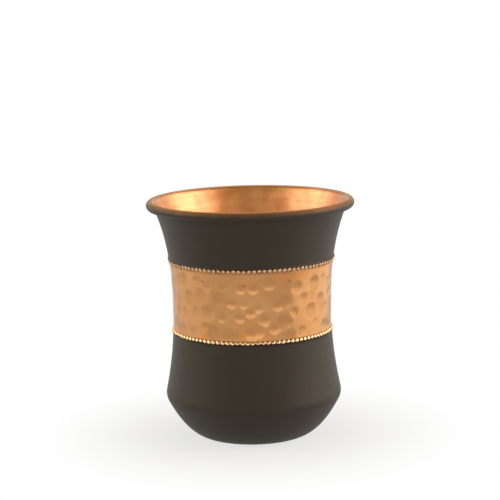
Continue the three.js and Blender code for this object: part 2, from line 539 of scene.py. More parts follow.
@dataclass(frozen=True)
class BeadCopper:
    """Polished bead tops over gaps dark with tarnish, with the matt coat lapping over one side.

    Attributes:
        name: The material's name.
        crest: The colour of the bead tops.
        gap: The colour between the beads.
        paint: The colour of the coat.
        sheen: The tint of its sheen.
        roughness: How polished the tops are.
        gap_matt: How much more matt the gaps are.
        matt: How matt the coat is.
        gloss: How much the coat mirrors.
    """

    name: str = "bead_copper"
    crest: Colour = (0.68, 0.41, 0.215, 1.0)
    gap: Colour = (0.30, 0.130, 0.055, 1.0)
    paint: Colour = (0.022, 0.0128, 0.0070, 1.0)
    sheen: Colour = (1.0, 0.90, 0.74, 1.0)
    roughness: float = 0.2
    gap_matt: float = 0.3
    matt: float = 0.58
    gloss: float = 0.25

    def material(self) -> bpy.types.Material:
        """Make the finish.

        Returns:
            The new material.
        """
        sheet = ShaderSheet(self.name)
        wear = sheet.ranged(sheet.noise(500.0), 0.3, 0.7, -0.2, 0.2)
        # The crest value also carries painted shade on the beads' side beside the strip.
        rubbed = sheet.joined("ADD", sheet.trait(Trait.CREST), wear)
        clean = sheet.ranged(rubbed, 0.25, 0.75, 0.0, 1.0)
        ragged = sheet.ranged(sheet.noise(240.0), 0.3, 0.7, -0.12, 0.12)
        coated = sheet.ranged(sheet.joined("ADD", sheet.trait(Trait.COVER), ragged), -0.1, 0.1, 0.0, 1.0)
        metal = sheet.mixed(clean, self.gap, self.crest)
        shine = sheet.ranged(clean, 0.0, 1.0, self.roughness + self.gap_matt, self.roughness)
        sheet.surface({
            "Base Color": sheet.mixed(coated, metal, self.paint),
            "Roughness": sheet.joined("MAXIMUM", shine, sheet.joined("MULTIPLY", coated, self.matt)),
            "Metallic": sheet.joined("SUBTRACT", 1.0, coated),
            "Specular IOR Level": self.gloss,
            "Specular Tint": self.sheen,
            "Normal": sheet.bump(sheet.noise(1800.0), 0.06, 0.03 * MM),
        })
        return sheet.material


@dataclass(frozen=True)
class ShadedBeadCopper(BeadCopper):
    """A darker copy of the same beads, painted shade for the upper row, which lies under the flare."""

    name: str = "shaded_bead_copper"
    crest: Colour = (0.53, 0.295, 0.145, 1.0)
    gap: Colour = (0.20, 0.090, 0.040, 1.0)
    gloss: float = 0.4


@dataclass(frozen=True)
class MattCoat:
    """A dark stoved coat with a fine grain, thinning to bare copper at the lip.

    Attributes:
        name: The material's name.
        dark: The coat's colour.
        worn: Its colour where it is a little rubbed.
        bare: The copper that shows where it thins out.
        sheen: The tint of its sheen.
        gloss: How much it mirrors.
        roughness: How matt it is.
        bare_polish: How much less matt the bare copper is.
    """

    name: str = "matt_coat"
    dark: Colour = (0.0140, 0.0090, 0.0062, 1.0)
    worn: Colour = (0.0172, 0.0116, 0.0082, 1.0)
    bare: Colour = (0.38, 0.175, 0.074, 1.0)
    sheen: Colour = (1.0, 0.89, 0.68, 1.0)
    gloss: float = 0.40
    roughness: float = 0.58
    bare_polish: float = 0.22

    def material(self) -> bpy.types.Material:
        """Make the finish.

        Returns:
            The new material.
        """
        sheet = ShaderSheet(self.name)
        cloud = sheet.ranged(sheet.noise(45.0, 4.0), 0.35, 0.68, 0.0, 1.0)
        grain = sheet.noise(2200.0, 3.0)
        peel = sheet.noise(420.0, 2.0)
        ragged = sheet.ranged(sheet.noise(150.0, 3.0), 0.3, 0.7, -0.03, 0.03)
        cover = sheet.joined("ADD", sheet.trait(Trait.COVER), ragged)
        bare = sheet.ranged(cover, 0.08, 0.92, 1.0, 0.0)
        tone = sheet.mixed(cloud, self.dark, self.worn)
        matt = sheet.ranged(grain, 0.3, 0.7, self.roughness - 0.05, self.roughness + 0.06)
        relief = sheet.bump(peel, 0.05, 0.06 * MM, sheet.bump(grain, 0.10, 0.03 * MM))
        sheet.surface({
            "Base Color": sheet.mixed(bare, tone, self.bare),
            "Metallic": bare,
            "Roughness": sheet.joined("SUBTRACT", matt, sheet.joined("MULTIPLY", bare, self.bare_polish)),
            "Specular IOR Level": self.gloss,
            "Specular Tint": self.sheen,
            "Normal": relief,
        })
        return sheet.material


@dataclass(frozen=True)
class DrawnWire:
    """Drawn copper wire, dull from the draw plate.

    Attributes:
        name: The material's name.
        bright: The colour of the wire.
        dull: The colour of its dull streaks.
    """

    name: str = "drawn_wire"
    bright: Colour = (0.49, 0.19, 0.07, 1.0)
    dull: Colour = (0.34, 0.12, 0.045, 1.0)

    def material(self) -> bpy.types.Material:
        """Make the finish.

        Returns:
            The new material.
        """
        sheet = ShaderSheet(self.name)
        streaks = sheet.noise(900.0, 4.0)
        drawn = sheet.ranged(streaks, 0.35, 0.65, 0.0, 1.0)
        sheet.surface({
            "Base Color": sheet.mixed(drawn, self.bright, self.dull),
            "Roughness": sheet.ranged(streaks, 0.3, 0.7, 0.34, 0.48),
            "Metallic": 1.0,
            "Normal": sheet.bump(streaks, 0.08, 0.02 * MM),
        })
        return sheet.material


@dataclass(frozen=True)
class CupForm:
    """The spun cup, measured on its bare outside.

    The wall leaves the waist by a power law, upwards into the hollow of the rolled lip and downwards
    into the shoulder of the belly. A quadratic curve carries it on from there to the foot.

    Attributes:
        height: The whole height.
        mouth_radius: The outside of the rolled lip.
        waist_radius: The wall at its narrowest.
        waist_height: How high the waist is.
        belly_radius: The belly at its widest.
        belly_height: How high that is.
        shoulder_radius: How round the belly's shoulder is.
        bowl_angle: How far the shoulder runs on under the belly, to where the bowl begins.
        foot_radius: The outside of the ring that the cup stands on.
        foot_ring_width: How wide that ring is.
        foot_push_up: How far the middle of the foot is pushed up.
        foot_roll: How wide the slope between the ring and the middle is.
        sheet: The copper sheet's gauge.
        flare_power: The power law of the wall above the waist.
        skirt_power: The power law of the wall below the waist.
        curl_hollow: The inside of the rolled lip's section.
        curl_gap: The gap between the rolled edge and the wall.
        channel_depth: How deep the channel round the waist is.
        channel_runout: How far up or down the wall steps out of the channel.
        fit: The gap between pieces that lie together.
        coat: The matt coat's thickness.
        join_rounds: How many rounds find where two curves meet.
        middle_points: How many points the middle of the foot has.
        ring_points: How many points its slope and ring have.
        bowl_points: How many points the bowl has.
        shoulder_steps: How many steps the shoulder has.
    """

    height: float = 96.6 * MM
    mouth_radius: float = 41.75 * MM
    waist_radius: float = 31.9 * MM
    waist_height: float = 47.6 * MM
    belly_radius: float = 35.35 * MM
    belly_height: float = 17.7 * MM
    shoulder_radius: float = 6.0 * MM
    bowl_angle: float = math.radians(28)
    foot_radius: float = 18.5 * MM
    foot_ring_width: float = 5.0 * MM
    foot_push_up: float = 0.8 * MM
    foot_roll: float = 2.5 * MM
    sheet: float = 0.9 * MM
    flare_power: float = 2.87
    skirt_power: float = 1.8
    curl_hollow: float = 0.85 * MM
    curl_gap: float = 0.4 * MM
    channel_depth: float = 0.3 * MM
    channel_runout: float = 0.15 * MM
    fit: float = 0.05 * MM
    coat: float = 0.2 * MM
    join_rounds: int = 40
    middle_points: int = 12
    ring_points: int = 22
    bowl_points: int = 49
    shoulder_steps: int = 20

    @property
    def curl_radius(self) -> float:
        """The outside of the rolled lip's section."""
        return self.curl_hollow + self.sheet

    @property
    def curl_centre(self) -> np.ndarray:
        """The middle of the rolled lip's section."""
        return np.array([self.mouth_radius - self.curl_radius, self.height - self.curl_radius])

    @property
    def shoulder_centre(self) -> np.ndarray:
        """The middle of the belly's round shoulder."""
        return np.array([self.belly_radius - self.shoulder_radius, self.belly_height])

    @property
    def neck_angle(self) -> float:
        """How far the wall leans out where the lip begins."""
        return self.join(self.curl_centre, self.curl_hollow, self.flare_power, math.pi, -1.0)

    @property
    def shoulder_angle(self) -> float:
        """How far up its shoulder the wall begins."""
        return self.join(self.shoulder_centre, self.shoulder_radius, self.skirt_power, 0.0, 1.0)

    @property
    def curl_end(self) -> float:
        """The angle at which the rolled edge ends, clear of the wall."""
        return math.acos((self.curl_hollow - self.curl_gap) / self.curl_radius) - math.pi - self.neck_angle

    @property
    def neck(self) -> np.ndarray:
        """Where the wall runs into the hollow of the lip."""
        return self.on_circle(self.curl_centre, self.curl_hollow, math.pi - self.neck_angle)

    @property
    def shoulder(self) -> np.ndarray:
        """Where the wall runs into the belly's shoulder."""
        return self.on_circle(self.shoulder_centre, self.shoulder_radius, self.shoulder_angle)

    @staticmethod
    def on_circle(centre: np.ndarray, radius: float, angle: float) -> np.ndarray:
        """The point at an angle on a circle in the outline's plane."""
        return centre + radius * np.array([math.cos(angle), math.sin(angle)])

    def join(self, centre: np.ndarray, radius: float, power: float, zero: float, sense: float) -> float:
        """The angle at which the wall runs smoothly into a round end.

        Args:
            centre: The round end's centre.
            radius: Its radius.
            power: The power law of the wall that meets it.
            zero: The angle on the circle that counts as level.
            sense: Which way round the angle counts.

        Returns:
            The wall's lean where they meet.
        """
        angle = 0.0
        for _ in range(self.join_rounds):
            end = self.on_circle(centre, radius, zero + sense * angle)
            angle = math.atan(power * (end[0] - self.waist_radius) / abs(end[1] - self.waist_height))
        return angle

    def wall(self, heights: np.ndarray) -> np.ndarray:
        """The bare outside of the wall.

        Args:
            heights: The heights to give it at.

        Returns:
            Radius and height at each.
        """
        flare = np.clip((heights - self.waist_height) / (self.neck[1] - self.waist_height), 0.0, None)
        skirt = np.clip((self.waist_height - heights) / (self.waist_height - self.shoulder[1]), 0.0, None)
        out = (self.neck[0] - self.waist_radius) * flare**self.flare_power
        out += (self.shoulder[0] - self.waist_radius) * skirt**self.skirt_power
        return np.stack([self.waist_radius + out, heights], axis=1)

    def channel(self, heights: np.ndarray) -> np.ndarray:
        """The floor of the channel that the strip and its wires lie in."""
        return self.wall(heights) - np.array([self.channel_depth, 0.0])

    def underside(self) -> np.ndarray:
        """The foot, pushed up in the middle, from the axis to the edge of its ring.

        Returns:
            The points, one row each.
        """
        ring = self.foot_radius - self.foot_ring_width
        slope = ring - self.foot_roll
        middle = np.linspace(0.0, slope, self.middle_points)[:-1]
        radii = np.concatenate([middle, np.linspace(slope, self.foot_radius, self.ring_points)])
        rise = self.foot_push_up * (1.0 - smooth_step(slope, ring, radii))
        return np.stack([radii, rise], axis=1)

    def bowl(self) -> np.ndarray:
        """The rounded bowl and shoulder, from the edge of the foot to the start of the wall.

        Returns:
            The points, one row each.
        """
        top = self.on_circle(self.shoulder_centre, self.shoulder_radius, -self.bowl_angle)
        corner = np.array([top[0] - top[1] * math.tan(self.bowl_angle), 0.0])
        foot = np.array([self.foot_radius, 0.0])
        t = np.linspace(0.0, 1.0, self.bowl_points)[:, None]
        curve = (1 - t) ** 2 * foot + 2 * t * (1 - t) * corner + t**2 * top
        ends = (-self.bowl_angle, self.shoulder_angle)
        shoulder = arc(self.shoulder_centre, self.shoulder_radius, *ends, self.shoulder_steps)
        return np.concatenate([curve, shoulder[1:]])


class Piece(ABC):
    """A visible piece of the tumbler that stands for one of its solids.

    Attributes:
        node: The solid that it stands for.
        slot: The record's slot for its finish. Not used.
    """

    node: str
    slot: Slot

    @abstractmethod
    def mesh(self) -> GridMesh:
        """The piece's fine mesh."""

    def build(self, material: bpy.types.Material) -> bpy.types.Object:
        """Make the piece, dress it and set it on the frame.

        Args:
            material: Its finish.

        Returns:
            The new object.
        """
        piece = self.mesh().build()
        piece.data.materials.append(material)
        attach(piece, BODY)
        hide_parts(self.node)
        log.info("%s: %d faces in %s", piece.name, len(piece.data.polygons), material.name)
        return piece


@dataclass
class CupShell(Piece):
    """The spun cup with its foot, channel and rolled lip.

    Attributes:
        form: The cup's form.
        channel_bottom: Where the channel round the waist begins.
        channel_top: Where it ends.
        segments: How many steps go round the cup.
        skirt_points: How many points the wall has below the channel.
        channel_points: How many points the channel has.
        flare_points: How many points the wall has above the channel.
        inside_points: How many points the wall has inside.
        hollow_steps: How many steps the lip's hollow has.
        lip_steps: How many steps the lip's outside has.
    """

    form: CupForm
    channel_bottom: float
    channel_top: float
    segments: int = 200
    skirt_points: int = 30
    channel_points: int = 40
    flare_points: int = 40
    inside_points: int = 110
    hollow_steps: int = 24
    lip_steps: int = 40
    node: str = "cup_shell"
    slot: Slot = Slot.CUP

    def outline(self) -> np.ndarray:
        """The cup's section, from the middle of the underside round to the middle of the floor.

        Returns:
            The points, one row each.
        """
        form = self.form
        low = self.channel_bottom - form.channel_runout
        high = self.channel_top + form.channel_runout
        base = np.concatenate([form.underside(), form.bowl()[1:]])
        skirt = form.wall(np.linspace(form.shoulder[1], low, self.skirt_points))[1:]
        channel = form.channel(np.linspace(self.channel_bottom, self.channel_top, self.channel_points))
        flare = form.wall(np.linspace(high, form.neck[1], self.flare_points))
        smooth = form.wall(np.linspace(form.shoulder[1], form.neck[1], self.inside_points))[1:]
        start = math.pi - form.neck_angle
        hollow = arc(form.curl_centre, form.curl_hollow, start, form.curl_end, self.hollow_steps)[1:]
        lip = arc(form.curl_centre, form.curl_radius, form.curl_end, start, self.lip_steps)
        inside = moved(np.concatenate([base, smooth]), -form.sheet)[::-1]
        inside[-1, 0] = 0.0
        return np.concatenate([base, skirt, channel, flare, hollow, lip, inside[1:]])

    def mesh(self) -> GridMesh:
        """The turned cup, with the length along its section for the turning lines.

        Returns:
            The mesh.
        """
        outline = self.outline()
        turns = np.arange(self.segments) * FULL_TURN / self.segments
        run = np.repeat(run_along(outline)[:, None], self.segments, axis=1)
        return GridMesh("spun_cup", around(outline, turns), traits={Trait.RUN: run})


@dataclass
class CoatSkin(Piece):
    """One stretch of the matt coat, a thin skin over the cup.

    Attributes:
        form: The cup's form.
        name: The piece's name.
        edge: Where it ends beside the beads.
        feather: How long its thin end is.
        film: How thick that end is.
        lap: How far it runs on into the beads.
        lap_rise: How far it climbs there.
        segments: How many steps go round it.
    """

    form: CupForm
    node: str
    name: str
    edge: float
    feather: float = 2.0 * MM
    film: float = 0.02 * MM
    lap: float = 0.75 * MM
    lap_rise: float = 0.22 * MM
    segments: int = 240
    slot: Slot = Slot.COAT

    @abstractmethod
    def path(self) -> np.ndarray:
        """The coat's outside, from its edge beside the beads to its thin end."""

    def turned_in(self, beads: Way) -> np.ndarray:
        """Where the coat leaves the wall and climbs on to the beads.

        Args:
            beads: Which way the beads lie.

        Returns:
            Its end on the beads and a point half way there, one row each.
        """
        form = self.form
        flush = form.channel_depth + form.fit + form.coat
        heights = self.edge + beads.value * self.lap * np.array([1.0, 0.5])
        rise = flush + self.lap_rise * np.array([1.0, 0.3])
        return form.channel(heights) + np.stack([rise, np.zeros(2)], axis=1)

    def cover(self, outside: np.ndarray) -> np.ndarray:
        """How fully the coat covers the copper at each point of its outside."""
        return np.ones(len(outside))

    def mesh(self) -> GridMesh:
        """The turned skin, thinning out towards its free end.

        Returns:
            The mesh.
        """
        outside = self.path()
        left = run_along(outside)[-1] - run_along(outside)
        thick = self.film + (self.form.coat - self.film) * smooth_step(0.0, self.feather, left)
        side = self.inward(outside)
        section = np.concatenate([outside, moved(outside, side * thick)[::-1]])
        cover = self.cover(outside)
        turns = np.arange(self.segments) * FULL_TURN / self.segments
        covers = np.repeat(np.concatenate([cover, cover[::-1]])[:, None], self.segments, axis=1)
        return GridMesh(self.name, around(section, turns), traits={Trait.COVER: covers})

    @staticmethod
    def inward(outside: np.ndarray) -> float:
        """Which side of a path faces the cup: left of one that climbs, right of one that descends."""
        return -1.0 if outside[-1, 1] > outside[0, 1] else 1.0


@dataclass
class UpperCoat(CoatSkin):
    """The coat from the upper beads over the outside of the lip, where it fades into copper.

    Attributes:
        end_angle: Where on the lip it ends.
        fade_start: Where on the lip it begins to thin out.
        fade_end: Where the copper shows fully.
        corner: How far the paint eases the corner under the lip.
        end_lift: How far its end lies off the lip, in thicknesses of the film.
        lip_reach: How far from the middle of the lip it counts as on the lip, in lip radii.
        wall_points: How many points it has up to the lip.
        lip_steps: How many steps it has round the lip.
    """

    end_angle: float = math.radians(134)
    fade_start: float = math.radians(-44)
    fade_end: float = math.radians(116)
    feather: float = 6.2 * MM
    corner: float = 0.45 * MM
    end_lift: float = 1.5
    lip_reach: float = 1.4
    wall_points: int = 160
    lip_steps: int = 59

    def path(self) -> np.ndarray:
        """The coat's outside, up the wall and round the lip.

        Returns:
            The points, one row each.
        """
        form = self.form
        out = form.fit + form.coat
        reach = form.curl_radius + out
        heights = np.linspace(self.edge + form.channel_runout, form.neck[1], self.wall_points)
        wall = moved(form.wall(heights), out)
        away = np.linalg.norm(wall - form.curl_centre, axis=1)
        wall = wall[: int(np.argmax(away < reach))]
        inner = wall[-1] - form.curl_centre
        start = math.atan2(inner[1], inner[0])
        angles = np.linspace(start, self.end_angle, self.lip_steps + 1)
        left = reach * (self.end_angle - angles)[:, None]
        thin = self.end_lift * self.film
        lifted = form.curl_radius + thin + (out - thin) * smooth_step(0.0, self.feather, left)
        lip = arc(form.curl_centre, lifted, start, self.end_angle, self.lip_steps)
        painted = eased(np.concatenate([wall, lip[1:]]), self.corner)
        return np.concatenate([self.turned_in(Way.DOWN), painted])

    def cover(self, outside: np.ndarray) -> np.ndarray:
        """How fully the coat covers the copper, thinning out over the lip.

        Args:
            outside: The points of its outside.

        Returns:
            The cover at each point, at most 1.
        """
        beside = outside - self.form.curl_centre
        angle = np.arctan2(beside[:, 1], beside[:, 0])
        on_lip = np.linalg.norm(beside, axis=1) < self.lip_reach * self.form.curl_radius
        fade = smooth_step(self.fade_start, self.fade_end, angle)
        return np.where(on_lip, 1.0 - fade, 1.0)


@dataclass
class LowerCoat(CoatSkin):
    """The coat from the lower beads over the belly to the edge of the foot.

    Attributes:
        foot_clearance: How far above the foot it ends.
        wall_points: How many points it has down to the belly.
    """

    foot_clearance: float = 0.05 * MM
    wall_points: int = 70

    def path(self) -> np.ndarray:
        """The coat's outside, down the wall and round the bowl.

        Returns:
            The points, one row each.
        """
        form = self.form
        wall = form.wall(np.linspace(self.edge - form.channel_runout, form.shoulder[1], self.wall_points))
        whole = np.concatenate([wall, form.bowl()[::-1][1:]])
        run = run_along(whole)
        left = run[-1] - run
        out = (form.fit + form.coat) * smooth_step(0.0, 2.0 * self.feather, left) + self.film
        path = np.concatenate([self.turned_in(Way.UP), moved(whole, -out)])
        return path[path[:, 1] > self.foot_clearance]


@dataclass(frozen=True)
class Smudge:
    """A soft patch of tarnish on the hammered strip.

    Attributes:
        turn: Where it is round the cup, in degrees to the right of the front.
        height: How high it is.
        reach: How far it spreads.
        strength: How strong it is, at most 1.
        stretch: How many times wider than tall it is.
    """

    turn: float
    height: float
    reach: float
    strength: float
    stretch: float = 1.6

    def spread(self, turns: np.ndarray, heights: np.ndarray, radius: float) -> np.ndarray:
        """How strong the smudge is at each point of the strip.

        Args:
            turns: The angles round the axis, counted from the back.
            heights: The heights of the rows.
            radius: The strip's radius.

        Returns:
            The strengths, by height and angle.
        """
        aside = (turns - math.pi - math.radians(self.turn)) * radius
        square = (aside[None, :] / self.stretch) ** 2 + (heights[:, None] - self.height) ** 2
        return self.strength * np.exp(-square / self.reach**2)


@dataclass
class HammeredBand(Piece):
    """The hammered strip round the waist, with a butt seam at the back.

    Attributes:
        form: The cup's form.
        bottom: The height of its lower edge.
        top: The height of its upper edge.
        thickness: The strip's gauge.
        seam: How wide the seam is.
        mark: The distance between hammer marks.
        mark_radius: How far a mark would reach by itself.
        depth: How deep a mark is.
        smallest: The smallest mark's share of that radius and depth.
        size_range: How much more of both the largest mark has.
        shallowest: What share of its depth the most gentle blow leaves.
        blow_range: How much more the hardest blow leaves.
        scatter: How far a mark strays from its place.
        row_margin: How far inside the plain margins the outer rows of marks lie.
        plain_top: The plain margin at the top.
        plain_bottom: The plain margin at the bottom.
        softness: How rounded the ridges are.
        edge_round: How far the strip's edges are rounded.
        tuck: How far its edges run in under the beads.
        columns: How many points go round it.
        rows: How many points go up its face.
        back_steps: How many steps go up its back.
        seed: The seed for the marks' chance values.
        stains: The larger patches of orange tarnish.
        specks: The small dark specks.
    """

    form: CupForm
    bottom: float
    top: float
    thickness: float = 0.5 * MM
    seam: float = 0.4 * MM
    mark: float = 6.0 * MM
    mark_radius: float = 3.15 * MM
    depth: float = 0.25 * MM
    smallest: float = 0.64
    size_range: float = 0.56
    shallowest: float = 0.60
    blow_range: float = 0.55
    scatter: float = 4.4 * MM
    row_margin: float = 2.8 * MM
    plain_top: float = 2.6 * MM
    plain_bottom: float = 0.2 * MM
    softness: float = 0.024 * MM
    edge_round: float = 0.1 * MM
    tuck: float = 0.45 * MM
    columns: int = 760
    rows: int = 116
    back_steps: int = 8
    seed: int = 11
    stains: tuple[Smudge, ...] = (
        Smudge(17.0, 69.5 * MM, 1.3 * MM, 0.7),
        Smudge(25.0, 69.8 * MM, 1.3 * MM, 0.9),
        Smudge(33.0, 69.2 * MM, 1.7 * MM, 1.0),
        Smudge(-7.0, 68.0 * MM, 1.3 * MM, 0.6),
        Smudge(-23.0, 67.6 * MM, 1.5 * MM, 0.5),
        Smudge(-66.0, 47.4 * MM, 1.4 * MM, 0.9),
    )
    specks: tuple[Smudge, ...] = (
        Smudge(-62.0, 68.0 * MM, 0.6 * MM, 0.7),
        Smudge(-36.5, 68.0 * MM, 0.5 * MM, 0.8),
        Smudge(27.0, 67.8 * MM, 0.5 * MM, 0.8),
        Smudge(-5.0, 66.9 * MM, 0.5 * MM, 0.7),
        Smudge(-66.0, 47.4 * MM, 0.9 * MM, 0.6),
        Smudge(66.0, 66.0 * MM, 0.6 * MM, 0.6),
    )
    node: str = "hammered_band"
    slot: Slot = Slot.BAND

    def marks(self) -> np.ndarray:
        """The hammer marks, row by row, each row set over by a chance amount.

        Returns:
            For each mark its way round, its height, its radius and its depth.
        """
        rng = np.random.default_rng(self.seed)
        girth = FULL_TURN * self.form.waist_radius
        count = round(girth / self.mark)
        low = self.bottom + self.plain_bottom + self.row_margin
        high = self.top - self.plain_top - self.row_margin
        levels = np.linspace(low, high, round((high - low) / self.mark) + 1)
        found = []
        for level in levels:
            across = (np.arange(count) + rng.random()) * girth / count
            stray = self.scatter * (rng.random((count, 2)) - 0.5)
            size = self.smallest + self.size_range * rng.random(count)
            reach = self.mark_radius * size
            deep = self.depth * size * (self.shallowest + self.blow_range * rng.random(count))
            found.append(np.stack([across + stray[:, 0], level + stray[:, 1], reach, deep], axis=1))
        return np.concatenate(found)

    def relief(self, turns: np.ndarray, heights: np.ndarray) -> np.ndarray:
        """How deep the hammered face lies below the plain strip.

        Args:
            turns: The angles round the axis.
            heights: The heights up the strip.

        Returns:
            The depths, by height and angle.
        """
        girth = FULL_TURN * self.form.waist_radius
        across = turns * self.form.waist_radius
        total = np.ones((len(heights), len(turns)))
        for place, level, reach, deep in self.marks():
            aside = np.abs(across - place) % girth
            aside = np.minimum(aside, girth - aside)
            square = (aside[None, :] ** 2 + (heights[:, None] - level) ** 2) / reach**2
            total += np.exp(np.clip(deep * (1.0 - square) / self.softness, -30.0, None))
        return self.softness * np.log(total)

    def mesh(self) -> GridMesh:
        """The strip, with its distances to the nearer edge and the top, and the marks' depths, for stains
        and painted shade.

        Returns:
            The mesh.
        """
        half = self.seam / 2.0 / self.form.waist_radius
        turns = np.linspace(half, FULL_TURN - half, self.columns)
        heights = np.linspace(self.bottom - self.tuck, self.top + self.tuck, self.rows)
        edge = np.minimum(heights - heights[0], heights[-1] - heights)
        rounded = self.edge_round * (1.0 - smooth_step(0.0, 3.0 * self.edge_round, edge))
        plain = self.form.channel(heights)
        plain[:, 0] += self.form.fit
        front = around(plain + np.array([self.thickness, 0.0]), turns)
        sunk = self.relief(turns, heights) + rounded[:, None]
        front[:, :, 0] += sunk * np.sin(turns)
        front[:, :, 1] -= sunk * np.cos(turns)
        back = around(plain[:: -(self.rows // self.back_steps)], turns)
        grid = np.concatenate([front, back])
        levels = grid[:, 0, 2]
        below = np.repeat((self.top - levels)[:, None], self.columns, axis=1)
        above = np.repeat((levels - self.bottom)[:, None], self.columns, axis=1)
        # The marks' depths, which the finish turns into painted shade.
        hollow = np.concatenate([sunk, np.zeros(back.shape[:2])])
        traits = {Trait.EDGE: np.minimum(above, below), Trait.BELOW: below, Trait.HOLLOW: hollow}
        radius = self.form.waist_radius
        for trait, smudges in ((Trait.STAIN, self.stains), (Trait.SPECK, self.specks)):
            traits[trait] = sum(smudge.spread(turns, levels, radius) for smudge in smudges)
        return GridMesh("hammered_strip", grid, ring=False, traits=traits)


@dataclass
class BeadWire(Piece):
    """A half round wire pressed into a row of beads.

    Attributes:
        form: The cup's form.
        name: The piece's name.
        height: The height of its middle.
        width: How wide a bead is, up the cup.
        rise: How far a bead stands out of the channel.
        pitch: The distance from bead to bead.
        neck: How much of a bead's size is left between two beads.
        filled_neck: How much is left where the coat has filled the gap.
        coat_side: Which side lies under the coat.
        lap: Where the coat begins on a bead, from 0 in its middle to 1 at that side.
        gap_lap: Where it begins between two beads.
        lap_power: How it eases from one to the other.
        painted_shade: How dark painted shade makes the side beside the strip, at most 1.
        side_start: How far over the middle a bead's sides begin, on the same scale.
        fill_end: From where on the coat has filled the gaps in full.
        painted_shade_end: From where on the painted shade has its full strength.
        steps: How many steps make a bead.
        facets: How many steps go round its section.
    """

    form: CupForm
    node: str
    name: str
    height: float
    coat_side: Way
    lap: float
    painted_shade: float
    width: float = 2.5 * MM
    rise: float = 1.0 * MM
    pitch: float = 2.04 * MM
    neck: float = 0.56
    filled_neck: float = 0.70
    gap_lap: float = -0.4
    lap_power: float = 1.3
    side_start: float = -0.1
    fill_end: float = 0.5
    painted_shade_end: float = 0.7
    steps: int = 14
    facets: int = 14
    slot: Slot = Slot.BEAD

    def mesh(self) -> GridMesh:
        """The ring of beads, with how near each point is to a bead's crest, less painted shade on the side
        beside the strip.

        Returns:
            The mesh.
        """
        step = 0.1 * MM
        seat, above = self.form.channel(np.array([self.height, self.height + step]))
        slope = (above - seat) / np.linalg.norm(above - seat)
        out = np.array([slope[1], -slope[0]])
        beads = round(FULL_TURN * (seat[0] + self.rise) / self.pitch)
        phase = (np.arange(self.steps) / self.steps) * 2.0 - 1.0
        swell = np.tile(np.sqrt(np.clip(1.0 - phase**2, 0.0, 1.0)), beads)
        turns = np.arange(beads * self.steps) * FULL_TURN / (beads * self.steps)
        angles = np.linspace(-math.pi / 2.0, math.pi / 2.0, self.facets + 1)[:, None]
        painted = self.coat_side.value * np.sin(angles)
        filled = smooth_step(self.side_start, self.fill_end, painted)
        neck = self.neck + (self.filled_neck - self.neck) * filled
        size = neck + (1.0 - neck) * swell
        away = self.form.fit + self.rise * size * np.cos(angles)
        up = self.width / 2.0 * size * np.sin(angles)
        radius = seat[0] + away * out[0] + up * slope[0]
        level = seat[1] + away * out[1] + up * slope[1]
        grid = np.stack([-radius * np.sin(turns), radius * np.cos(turns), level], axis=2)
        # Painted shade: the bead side beside the strip is darkened through the crest value.
        shaded_side = smooth_step(self.side_start, self.painted_shade_end, -painted)
        crest = swell * (1.0 - self.painted_shade * shaded_side)
        cover = painted - (self.gap_lap + (self.lap - self.gap_lap) * swell**self.lap_power)
        return GridMesh(self.name, grid, traits={Trait.CREST: crest, Trait.COVER: cover})


@dataclass(frozen=True)
class Softbox:
    """A soft lamp that faces the tumbler.

    Attributes:
        name: The lamp's name.
        bearing: Its direction from the tumbler, from the right towards the back, in degrees.
        radiance: How bright its face is, where 1 is white.
        elevation: Its height above the tumbler's middle, in degrees.
        width: How wide it is, in metres.
        length: How tall it is, in metres.
        distance: How far away it stands.
        tint: Its colour.
    """

    name: str
    bearing: float
    radiance: float
    elevation: float
    width: float
    length: float
    distance: float = 1.0
    tint: tuple[float, float, float] = (1.0, 0.95, 0.885)

    def build(self, target: Vector) -> bpy.types.Object:
        """Make the lamp.

        Args:
            target: The point that it faces.

        Returns:
            The lamp.
        """
        light = bpy.data.lights.new(self.name, "AREA")
        light.shape = "RECTANGLE"
        light.color = self.tint
        light.size = self.width
        light.size_y = self.length
        light.energy = self.radiance * math.pi * self.width * self.length
        bearing, elevation = math.radians(self.bearing), math.radians(self.elevation)
        level = math.cos(elevation)
        way = Vector((level * math.cos(bearing), level * math.sin(bearing), math.sin(elevation)))
        lamp = bpy.data.objects.new(self.name, light)
        lamp.location = target + way * self.distance
        lamp.rotation_euler = way.to_track_quat("Z", "Y").to_euler()
        bpy.context.scene.collection.objects.link(lamp)
        return lamp


@dataclass(frozen=True)
class FarStrip(Softbox):
    """A low, wide lamp on the floor before or behind the tumbler, which shows up the hammer marks."""

    elevation: float = -2.5
    width: float = 0.80
    length: float = 0.052
    distance: float = 0.40


@dataclass(frozen=True)
class NearStrip(Softbox):
    """A low lamp on the floor beside the tumbler, which brightens the band's ends."""

    elevation: float = -6.5
    width: float = 0.36
    length: float = 0.046
    distance: float = 0.20


